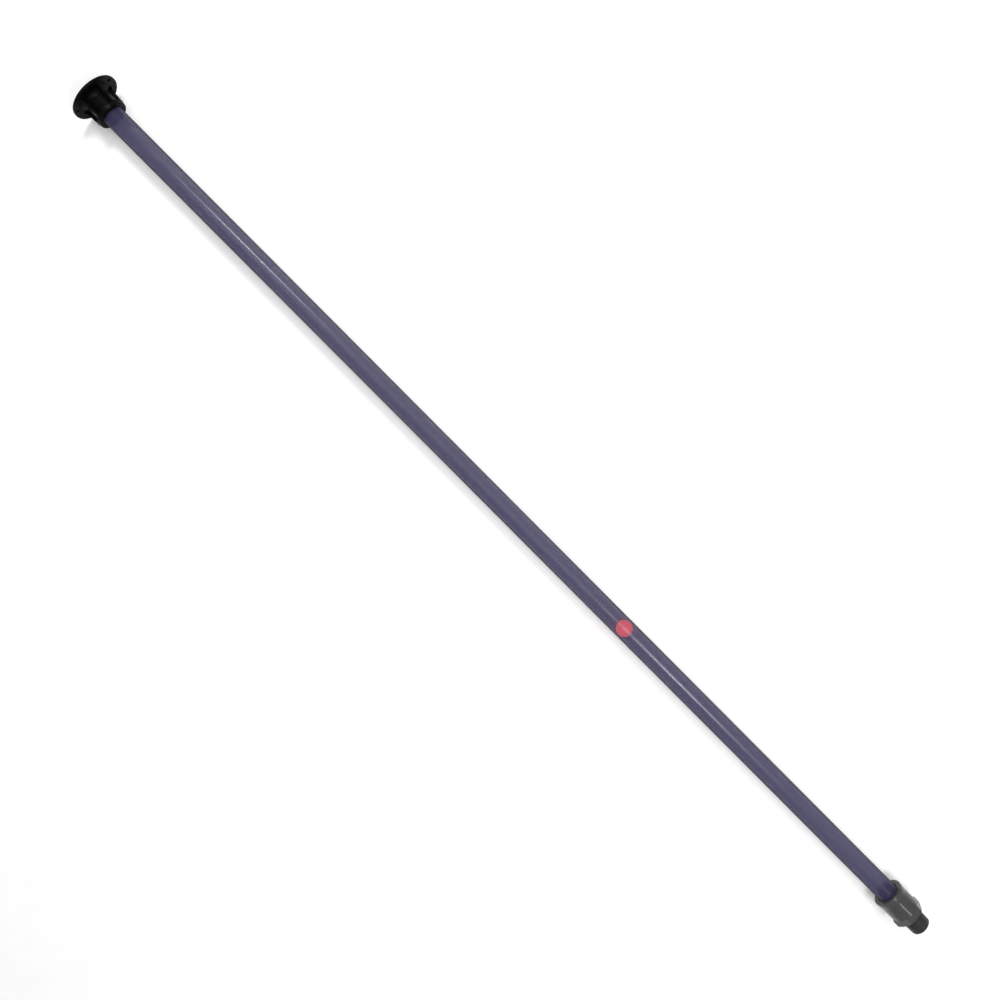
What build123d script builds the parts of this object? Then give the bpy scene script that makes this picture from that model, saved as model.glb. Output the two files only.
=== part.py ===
from build123d import *
import os
from math import atan, degrees, radians, sin, tan

# Float-ball sight tube: a clear pipe with a loose float ball, a screw-down end flange on one end and a
# male pipe adapter on the other. It lies along +X on the plane Z = 0, as it lies on a bench, with the
# flange's mounting face at the -X end. The origin is the middle of the foot of its box. Millimetres.

# Clear pipe, nominal half-inch size
PIPE_OD = 21.34
PIPE_WALL = 1.6
PIPE_LENGTH = 1129.0
PIPE_EDGE = 0.4  # broken edge at each cut end
GLUE_GAP = 0.06  # radial, between the pipe and its sockets
END_GAP = 0.2  # between the pipe's cut end and the foot of a socket

# End flange
DISC_D = 51.6
DISC_T = 2.8
DISC_ROUND = 0.7
FLANGE_HEIGHT = 26.7
HUB_FOOT_D = 35.8  # over the ribs, at the disc
HUB_FLARE = 4.0  # concave feet of the ribs
COLLAR_START = 22.2  # from the mounting face
RIB_END_D = 33.0  # over the ribs, at the collar
RIB_END_SLOPE = 0.8  # length in which the ribs' ends drop to the collar
COLLAR_D = 31.9
MOUTH_D = 31.0
MOUTH_ROUND = 1.0
MOUTH_CHAMFER = 0.7  # inner edge of the mouth
END_WALL = 2.5
RIB_COUNT = 5
RIB_WIDTH = 1.8
CORE_D = 25.8  # the socket's wall between the ribs
CORE_FLARE = 5.0  # concave foot of the core
CORE_ROUND = 0.8  # where the core meets the collar
SCREW_PCD = 44.4
SCREW_HOLE_D = 4.0

# Male adapter: slip socket, hexagon and tapered pipe thread
ADAPTER_LENGTH = 49.2
SOCKET_DEPTH = 22.3
SOCKET_CHAMFER = 0.8
BODY_D = 30.4
BEAD_D = 31.8
BEAD_LENGTH = 3.2
BEAD_FADE = 8.0  # where the bead has run down to the body
BEAD_ROUND = 0.8
HEX_START = 23.5
HEX_LENGTH = 8.6
HEX_FLATS = 29.0
HEX_CORNER_D = 33.3  # the corners are turned to this
HEX_CHAMFER = 1.2
HEX_TURN = 12.0  # degrees between a flat's middle and the top, towards +Y
WATERWAY_D = 13.9
THREAD_PITCH = 25.4 / 14
THREAD_TAPER = 1 / 32  # growth of the radius with length
THREAD_PITCH_D = 19.5  # at the small end
THREAD_DEPTH = 0.66 * THREAD_PITCH
THREAD_CREST = 0.14 * THREAD_PITCH  # flat on the crests
THREAD_SINK = 0.15  # how far the ridge is rooted in its core
THREAD_CHAMFER = 1.3
NECK_LENGTH = 1.2  # plain neck between the hexagon and the thread

# Float ball
BALL_D = 16.7
BALL_FROM_FLANGE = 734.0  # its centre, from the mounting face

BASE = (Align.CENTER, Align.CENTER, Align.MIN)
SOCKET_R = PIPE_OD / 2 + GLUE_GAP
HEX_END = HEX_START + HEX_LENGTH
THREAD_LENGTH = ADAPTER_LENGTH - HEX_END
PIPE_START = END_WALL + END_GAP
ADAPTER_START = PIPE_START + PIPE_LENGTH + END_GAP - SOCKET_DEPTH
TOTAL_LENGTH = ADAPTER_START + ADAPTER_LENGTH
AXIS_Z = DISC_D / 2


def laid(shape, distance):
    """Lays a shape made along +Z along +X, its foot at this distance from the mounting face."""
    return Pos(distance - TOTAL_LENGTH / 2, 0, AXIS_Z) * Rot(0, 90, 0) * shape


def turned(*outline):
    """A solid of revolution about Z from a closed outline of (radius, height) points."""
    return revolve(Plane.XZ * make_face(Polyline(*outline, close=True)), Axis.Z)


def rod(radius, start, end):
    return Pos(0, 0, start) * Cylinder(radius, end - start, align=BASE)


def circles(shape, radius):
    """The round edges of one radius, lowest first."""
    round_edges = shape.edges().filter_by(GeomType.CIRCLE)
    return round_edges.filter_by(lambda edge: abs(edge.radius - radius) < 1e-3).sort_by(Axis.Z)


# Pipe


def clear_pipe():
    tube = rod(PIPE_OD / 2, 0, PIPE_LENGTH) - rod(PIPE_OD / 2 - PIPE_WALL, 0, PIPE_LENGTH)
    return chamfer(tube.edges().filter_by(GeomType.CIRCLE), PIPE_EDGE)


# Flange


def flange_body():
    """The disc and the hub's outline over its ribs and collar, before anything is cut out."""
    rim = DISC_D / 2
    foot = HUB_FOOT_D / 2
    mouth = MOUTH_D / 2
    body = turned(
        (0, 0),
        (rim, 0),
        (rim, DISC_T),
        (foot, DISC_T),
        (RIB_END_D / 2, COLLAR_START),
        (COLLAR_D / 2, COLLAR_START + RIB_END_SLOPE),
        (mouth, FLANGE_HEIGHT),
        (0, FLANGE_HEIGHT),
    )
    body = fillet(circles(body, foot), HUB_FLARE)
    body = fillet(circles(body, mouth), MOUTH_ROUND)
    return fillet(circles(body, rim), DISC_ROUND)


def pocket():
    """The space between two ribs, on the +X side of the hub."""
    core = CORE_D / 2
    reach = DISC_D
    ring = turned((core, DISC_T), (reach, DISC_T), (reach, COLLAR_START), (core, COLLAR_START))
    ring = fillet(circles(ring, core)[:1], CORE_FLARE)
    ring = fillet(circles(ring, core)[-1:], CORE_ROUND)
    half_span = radians(180 / RIB_COUNT)
    corner = RIB_WIDTH / 2 / sin(half_span)
    side = reach * tan(half_span)
    wedge = make_face(Polyline((corner, 0), (corner + reach, -side), (corner + reach, side), close=True))
    return ring & extrude(wedge, COLLAR_START)


def mounting_flange():
    body = flange_body()
    body -= rod(SOCKET_R, END_WALL, FLANGE_HEIGHT)
    body = chamfer(circles(body, SOCKET_R)[-1:], MOUTH_CHAMFER)
    space = pocket()
    hole = Pos(SCREW_PCD / 2, 0, 0) * rod(SCREW_HOLE_D / 2, 0, DISC_T)
    for i in range(RIB_COUNT):
        turn = Rot(0, 0, 180 + 360 / RIB_COUNT * i)
        body -= turn * space
        body -= turn * hole
    return body


# Adapter


def adapter_body():
    """The socket's outside: a bead at the mouth that runs down to the plain body."""
    body = turned(
        (0, 0),
        (BEAD_D / 2, 0),
        (BEAD_D / 2, BEAD_LENGTH),
        (BODY_D / 2, BEAD_FADE),
        (BODY_D / 2, HEX_START + HEX_CHAMFER),
        (0, HEX_START + HEX_CHAMFER),
    )
    return fillet(circles(body, BEAD_D / 2)[:1], BEAD_ROUND)


def hexagon():
    """The hexagon, its corners turned and chamfered at 30 degrees."""
    outline = RegularPolygon(HEX_FLATS / 2, 6, major_radius=False, rotation=30 - HEX_TURN)
    prism = extrude(outline, HEX_LENGTH)
    corner = HEX_CORNER_D / 2
    inset = HEX_CHAMFER / tan(radians(30))
    limit = turned(
        (0, 0),
        (corner - inset, 0),
        (corner, HEX_CHAMFER),
        (corner, HEX_LENGTH - HEX_CHAMFER),
        (corner - inset, HEX_LENGTH),
        (0, HEX_LENGTH),
    )
    return Pos(0, 0, HEX_START) * (prism & limit)


def root_radius(distance):
    """Radius of the thread's root at a distance from its small end."""
    return THREAD_PITCH_D / 2 - THREAD_DEPTH / 2 + THREAD_TAPER * distance


def pipe_thread():
    """The tapered thread, its small end at the foot and its plain neck at the top."""
    start = -THREAD_PITCH
    small = root_radius(start)
    half_root = THREAD_CREST / 2 + THREAD_DEPTH * tan(radians(30))
    half_crest = THREAD_CREST / 2
    section = Polyline(
        (small - THREAD_SINK, -half_root),
        (small, -half_root),
        (small + THREAD_DEPTH, -half_crest),
        (small + THREAD_DEPTH, half_crest),
        (small, half_root),
        (small - THREAD_SINK, half_root),
        close=True,
    )
    helix = Helix(
        pitch=THREAD_PITCH,
        height=THREAD_LENGTH + THREAD_PITCH,
        radius=small,
        center=(0, 0, start),
        cone_angle=degrees(atan(THREAD_TAPER)),
    )
    ridge = sweep(Pos(0, 0, start) * Plane.XZ * make_face(section), path=helix, is_frenet=True)
    low = 2 * start
    high = THREAD_LENGTH - 2 * start
    core = turned((0, low), (root_radius(low), low), (root_radius(high), high), (0, high))
    return trimmed(core + ridge)


def trimmed(thread):
    """Cuts the thread to length and gives it its lead-in chamfer and neck."""
    outside = HEX_CORNER_D
    margin = 4 * THREAD_PITCH
    thread -= rod(outside, -margin, 0)
    thread -= rod(outside, THREAD_LENGTH, THREAD_LENGTH + margin)
    lead = root_radius(0) + 0.05
    chamfer_ring = turned(
        (lead, -0.1),
        (lead + THREAD_CHAMFER, THREAD_CHAMFER),
        (outside, THREAD_CHAMFER),
        (outside, -0.1),
    )
    thread -= Rot(0, 0, 41) * chamfer_ring
    neck_start = THREAD_LENGTH - NECK_LENGTH
    neck = root_radius(THREAD_LENGTH) - 0.05
    return thread - (rod(outside, neck_start, THREAD_LENGTH + 1) - rod(neck, neck_start, THREAD_LENGTH + 1))


def male_adapter():
    body = adapter_body() + hexagon()
    body += Pos(0, 0, ADAPTER_LENGTH) * Rot(180, 0, 0) * pipe_thread()
    body -= rod(SOCKET_R, 0, SOCKET_DEPTH)
    body -= rod(WATERWAY_D / 2, SOCKET_DEPTH, ADAPTER_LENGTH)
    return chamfer(circles(body, SOCKET_R)[:1], SOCKET_CHAMFER)


# Ball


def float_ball():
    return Sphere(BALL_D / 2)


PARTS = {
    "clear_pipe": laid(clear_pipe(), PIPE_START),
    "mounting_flange": laid(mounting_flange(), 0),
    "male_adapter": laid(male_adapter(), ADAPTER_START),
    "float_ball": laid(float_ball(), BALL_FROM_FLANGE),
}

os.makedirs("parts", exist_ok=True)
for name, shape in PARTS.items():
    export_step(shape, f"parts/{name}.step")
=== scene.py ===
import math

import bpy
from mathutils import Matrix, Vector


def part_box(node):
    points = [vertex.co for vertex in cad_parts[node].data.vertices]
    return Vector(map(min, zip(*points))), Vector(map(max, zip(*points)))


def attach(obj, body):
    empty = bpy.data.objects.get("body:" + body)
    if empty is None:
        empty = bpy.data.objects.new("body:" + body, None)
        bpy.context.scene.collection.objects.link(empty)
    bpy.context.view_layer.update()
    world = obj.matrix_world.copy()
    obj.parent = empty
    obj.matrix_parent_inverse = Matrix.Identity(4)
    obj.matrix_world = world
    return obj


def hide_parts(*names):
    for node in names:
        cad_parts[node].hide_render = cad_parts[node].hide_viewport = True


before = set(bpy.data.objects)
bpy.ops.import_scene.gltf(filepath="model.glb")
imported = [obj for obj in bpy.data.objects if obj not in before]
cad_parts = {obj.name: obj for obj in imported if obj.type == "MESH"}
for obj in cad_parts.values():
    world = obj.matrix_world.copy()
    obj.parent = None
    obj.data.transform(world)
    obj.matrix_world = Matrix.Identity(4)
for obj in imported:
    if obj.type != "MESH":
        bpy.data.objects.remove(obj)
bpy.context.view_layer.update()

# The visual scene of a float-ball sight tube, in metres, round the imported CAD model. The tube lies along
# +X on a pale floor. Both fittings and the ball keep their CAD meshes and get procedural materials. The
# clear pipe is turned again here, finer than the CAD mesh, so that long highlights run smoothly along it.

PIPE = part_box("clear_pipe")
AXIS_Z = (PIPE[0][2] + PIPE[1][2]) / 2
MM = 0.001


# Materials

PVC_IOR = 1.53
NOISE_SPAN = (0.3, 0.7)  # most of a noise's values lie between these
DIE_LINE_DEPTH = 0.004 * MM


class Tree:
    """A material's node tree with short calls for the nodes used here."""

    def __init__(self, name):
        self.material = bpy.data.materials.new(name)
        self.material.use_nodes = True
        self.nodes = self.material.node_tree.nodes
        self.links = self.material.node_tree.links
        self.shader = self.nodes["Principled BSDF"]
        self.coords = self.nodes.new("ShaderNodeTexCoord").outputs["Object"]

    def add(self, kind, inputs=None, **settings):
        node = self.nodes.new("ShaderNode" + kind)
        for key, value in settings.items():
            setattr(node, key, value)
        for key, value in (inputs or {}).items():
            if isinstance(value, bpy.types.NodeSocket):
                self.links.new(value, node.inputs[key])
            else:
                node.inputs[key].default_value = value
        return node

    def link(self, source, name):
        self.links.new(source, self.shader.inputs[name])

    def set(self, **values):
        for name, value in values.items():
            self.shader.inputs[name.replace("_", " ")].default_value = value

    def noise(self, size, detail=3.0, roughness=0.5, along=1):
        """Noise whose features are about this size in metres, and this many times longer along the pipe."""
        place = self.add("Mapping", {"Vector": self.coords, "Scale": (1 / along, 1, 1)}).outputs[0]
        settings = {"Vector": place, "Scale": 1 / size, "Detail": detail, "Roughness": roughness}
        return self.add("TexNoise", settings).outputs["Fac"]

    def ranged(self, value, low, high, start, end):
        """Runs from low to high while the value runs from start to end."""
        span = {"Value": value, "From Min": start, "From Max": end, "To Min": low, "To Max": high}
        return self.add("MapRange", span).outputs[0]

    def tones(self, noise, dark, light):
        """A colour that wanders between two tones with the noise."""
        node = self.add("ValToRGB", {"Fac": noise})
        for element, place, colour in zip(node.color_ramp.elements, NOISE_SPAN, (dark, light)):
            element.position = place
            element.color = (*colour, 1.0)
        return node.outputs[0]

    def mix(self, factor, first, second):
        node = self.add("Mix", {"Factor": factor}, data_type="RGBA")
        for socket, colour in zip([s for s in node.inputs if s.type == "RGBA"], (first, second)):
            if isinstance(colour, bpy.types.NodeSocket):
                self.links.new(colour, socket)
            else:
                socket.default_value = (*colour, 1.0)
        return [s for s in node.outputs if s.type == "RGBA"][0]

    def surface(self, factor, first, second):
        """Makes a mix of two shaders the material's surface."""
        mixed = self.add("MixShader", {0: factor, 1: first, 2: second})
        self.links.new(mixed.outputs[0], self.nodes["Material Output"].inputs["Surface"])

    def bump(self, *layers):
        """Adds (height, distance in metres) layers of relief one on the other."""
        normal = None
        for height, distance in layers:
            inputs = {"Height": height, "Distance": distance, "Strength": 1.0}
            if normal:
                inputs["Normal"] = normal
            normal = self.add("Bump", inputs).outputs[0]
        self.link(normal, "Normal")

    def die_lines(self):
        """Fine lines from the die, which run the whole length of an extruded pipe."""
        self.bump((self.noise(1.1 * MM, 2.0, along=900), DIE_LINE_DEPTH))


def clear_wall():
    """The pipe's outer surface: a thin violet haze with a soft gloss. Where it is edge on it turns dense and
    dull, a dark diffuse tone: partly the denser wall, partly painted shade in place of the limb's
    reflection.
    """
    tree = Tree("clear_violet_pvc")
    tree.set(IOR=PVC_IOR, Alpha=0.3)
    haze = tree.noise(30 * MM, along=4)
    tree.link(tree.tones(haze, (0.075, 0.068, 0.150), (0.090, 0.082, 0.175)), "Base Color")
    scuffs = tree.noise(6 * MM, 6.0, 0.7, along=3)
    tree.link(tree.ranged(scuffs, 0.16, 0.34, 0.45, 0.75), "Roughness")
    tree.die_lines()
    # Partly painted shade: towards the limbs the gloss gives way to a dark diffuse tone, partly for the
    # denser wall seen edge on.
    facing = tree.add("LayerWeight", {"Blend": 0.5}).outputs["Facing"]
    limb_shade_tones = tree.tones(haze, (0.066, 0.063, 0.098), (0.078, 0.074, 0.114))
    edge = tree.add("BsdfDiffuse", {"Color": limb_shade_tones})
    denser_and_shaded_limb = tree.ranged(facing, 0.0, 0.9, 0.34, 0.60)
    tree.surface(denser_and_shaded_limb, tree.shader.outputs[0], edge.outputs[0])
    return tree.material


def bore_wall():
    """The pipe's bore: clear from behind. Where the far wall is seen from inside it is a nearly opaque dark
    violet, painted shade for the shadowed ground seen through the clear pipe, over the pipe's own violet
    tint.
    """
    tree = Tree("violet_bore_painted_shade")
    # Painted shade: the far wall is a nearly opaque dark violet lining, its tones mottled by noise.
    tree.set(IOR=PVC_IOR, Roughness=0.3, Alpha=0.8)
    shade_mottle = tree.noise(22 * MM, 4.0, 0.6, along=5)
    tree.link(tree.tones(shade_mottle, (0.105, 0.088, 0.290), (0.135, 0.114, 0.345)), "Base Color")
    tree.die_lines()
    behind = tree.add("NewGeometry").outputs["Backfacing"]
    clear = tree.add("BsdfTransparent").outputs[0]
    tree.surface(behind, tree.shader.outputs[0], clear)
    return tree.material


def black_plastic():
    """The flange: moulded black, satin, with a fine grain."""
    tree = Tree("moulded_black")
    tree.set(Specular_IOR_Level=0.045)
    grain = tree.noise(0.35 * MM, 2.0)
    flow = tree.noise(9 * MM, 4.0, 0.6)
    tree.link(tree.tones(flow, (0.0014, 0.0014, 0.0015), (0.0028, 0.0028, 0.0030)), "Base Color")
    tree.link(tree.ranged(flow, 0.30, 0.46, *NOISE_SPAN), "Roughness")
    tree.bump((flow, 0.02 * MM), (grain, 0.012 * MM))
    return tree.material


def grey_plastic():
    """The adapter: moulded dark grey, glossier than the flange, rubbed pale in small patches."""
    tree = Tree("moulded_grey")
    tree.set(Specular_IOR_Level=0.4)
    grain = tree.noise(0.4 * MM, 2.0)
    flow = tree.noise(8 * MM, 4.0, 0.6)
    scuffs = tree.noise(3 * MM, 6.0, 0.75)
    body = tree.tones(flow, (0.039, 0.0385, 0.038), (0.049, 0.0485, 0.048))
    rubbed = tree.ranged(scuffs, 0.0, 0.5, 0.62, 0.8)
    tree.link(tree.mix(rubbed, body, (0.085, 0.085, 0.084)), "Base Color")
    tree.link(tree.ranged(flow, 0.15, 0.24, *NOISE_SPAN), "Roughness")
    tree.bump((flow, 0.02 * MM), (grain, 0.004 * MM))
    return tree.material


def red_plastic():
    """The float ball: bright red, with a painted glow, a little light of its own, so that it shows through
    the pipe's painted dark far wall.
    """
    tree = Tree("float_red")
    grain = tree.noise(0.5 * MM, 2.0)
    flow = tree.noise(5 * MM)
    colour = tree.tones(flow, (0.82, 0.11, 0.115), (0.88, 0.14, 0.145))
    tree.link(colour, "Base Color")
    tree.link(tree.ranged(flow, 0.25, 0.38, *NOISE_SPAN), "Roughness")
    tree.bump((grain, 0.01 * MM))
    # Painted glow: the ball gives off light in its own red, though it is no lamp.
    tree.link(colour, "Emission Color")
    tree.set(Emission_Strength=0.66)
    return tree.material


def dress(node, material):
    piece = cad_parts[node]
    piece.data.materials.clear()
    piece.data.materials.append(material)


dress("mounting_flange", black_plastic())
dress("male_adapter", grey_plastic())
dress("float_ball", red_plastic())


# The clear pipe

PIPE_WALL = 1.6 * MM
PIPE_EDGE = 0.4 * MM  # broken edge at each cut end
PIPE_SIDES = 96
PIPE_BAYS = 40  # rings of faces along each surface
SHARP_ANGLE = math.radians(30)
OUTSIDE_SLOT, BORE_SLOT = 0, 1


def pipe_outline():
    """Two rows of (x, radius) points round the wall: the outside with both cut ends, and the bore."""
    start, end = PIPE[0][0], PIPE[1][0]
    outer = (PIPE[1][1] - PIPE[0][1]) / 2
    inner = outer - PIPE_WALL
    low, high = start + PIPE_EDGE, end - PIPE_EDGE
    steps = [low + (high - low) * i / PIPE_BAYS for i in range(PIPE_BAYS + 1)]
    outside = [(start, inner + PIPE_EDGE), (start, outer - PIPE_EDGE)]
    outside += [(x, outer) for x in steps]
    outside += [(end, outer - PIPE_EDGE), (end, inner + PIPE_EDGE)]
    bore = [(x, inner) for x in reversed(steps)]
    return outside, bore


def pipe_mesh():
    """The outline turned about the pipe's axis into one closed skin."""
    outside, bore = pipe_outline()
    outline = outside + bore
    vertices = []
    for x, radius in outline:
        for side in range(PIPE_SIDES):
            angle = math.tau * side / PIPE_SIDES
            vertices.append((x, radius * math.sin(angle), AXIS_Z + radius * math.cos(angle)))
    faces = []
    slots = []
    rings = len(outline)
    for ring in range(rings):
        here, there = ring * PIPE_SIDES, (ring + 1) % rings * PIPE_SIDES
        for side in range(PIPE_SIDES):
            beside = (side + 1) % PIPE_SIDES
            faces.append((here + side, there + side, there + beside, here + beside))
            slots.append(OUTSIDE_SLOT if ring < len(outside) - 1 else BORE_SLOT)
    mesh = bpy.data.meshes.new("clear_pipe_turned")
    mesh.from_pydata(vertices, [], faces)
    mesh.materials.append(clear_wall())
    mesh.materials.append(bore_wall())
    mesh.polygons.foreach_set("material_index", slots)
    mesh.shade_smooth()
    mesh.set_sharp_from_angle(angle=SHARP_ANGLE)
    return mesh


def placed(name, data):
    """Puts a new object with this data in the scene."""
    thing = bpy.data.objects.new(name, data)
    bpy.context.collection.objects.link(thing)
    return thing


def pipe():
    piece = placed("clear_pipe_turned", pipe_mesh())
    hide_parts("clear_pipe")
    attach(piece, "tube")


pipe()


# Floor

FLOOR_REACH = 6.0  # from the middle to each side


def floor():
    corners = [(x * FLOOR_REACH, y * FLOOR_REACH, 0) for x, y in ((-1, -1), (1, -1), (1, 1), (-1, 1))]
    mesh = bpy.data.meshes.new("floor")
    mesh.from_pydata(corners, [], [(0, 1, 2, 3)])
    tree = Tree("floor_white")
    tree.set(Roughness=0.9, Specular_IOR_Level=0.2)
    speck = tree.noise(25 * MM)
    tree.link(tree.tones(speck, (0.87, 0.87, 0.87), (0.89, 0.89, 0.89)), "Base Color")
    mesh.materials.append(tree.material)
    placed("floor", mesh)


floor()


# Camera: above the pipe's middle, its picture turned so that the flange is at the upper left

SENSOR_WIDTH = 36.0
FOCAL_SHARE = 0.989  # focal length as a share of the picture's width
NEAR_CLIP = 0.01
CAMERA_HEIGHT = 0.9763  # above the pipe's axis
CAMERA_X = -0.0497
CAMERA_Y = 0.0026
TILT = math.radians(1.58)  # leans the view towards the threaded end
ROLL = math.radians(45.11)  # the pipe's slope in the picture


def camera():
    data = bpy.data.cameras.new("camera")
    data.sensor_width = SENSOR_WIDTH
    data.lens = SENSOR_WIDTH * FOCAL_SHARE
    data.clip_start = NEAR_CLIP
    scope = placed("camera", data)
    along = Vector((math.cos(TILT), 0, math.sin(TILT)))
    back = Vector((-math.sin(TILT), 0, math.cos(TILT)))
    across = back.cross(along)
    right = along * math.cos(ROLL) + across * math.sin(ROLL)
    up = back.cross(right)
    turn = Matrix((right, up, back)).transposed()
    place = Vector((CAMERA_X, CAMERA_Y, AXIS_Z + CAMERA_HEIGHT))
    scope.matrix_world = Matrix.Translation(place) @ turn.to_4x4()
    bpy.context.scene.camera = scope


camera()


# Lights: two small softboxes, a spot beyond the thread and a wide, weak panel, all overhead and facing
# straight down, in a faint surround

LAMP_HEIGHT = AXIS_Z + 1.5
PANEL_HEIGHT = LAMP_HEIGHT + 0.1
SURROUND = 0.45


def softbox(name, place, size, power):
    data = bpy.data.lights.new(name, "AREA")
    data.shape = "RECTANGLE"
    data.size, data.size_y = size
    data.energy = power
    placed(name, data).location = place


def surround():
    world = bpy.data.worlds.new("studio")
    world.use_nodes = True
    background = world.node_tree.nodes["Background"].inputs
    background["Color"].default_value = (1, 1, 1, 1)
    background["Strength"].default_value = SURROUND
    bpy.context.scene.world = world


softbox("softbox_flange", (-0.875, 0.58, LAMP_HEIGHT), (0.30, 0.40), 12.5)
softbox("softbox_thread", (0.644, 0.0, LAMP_HEIGHT), (0.25, 0.40), 9.5)
softbox("spot_thread", (1.495, 0.2, LAMP_HEIGHT), (0.06, 0.12), 1.6)
softbox("panel", (0, 0.1, PANEL_HEIGHT), (2.2, 1.2), 14)
surround()

bpy.context.scene.view_settings.view_transform = "Standard"
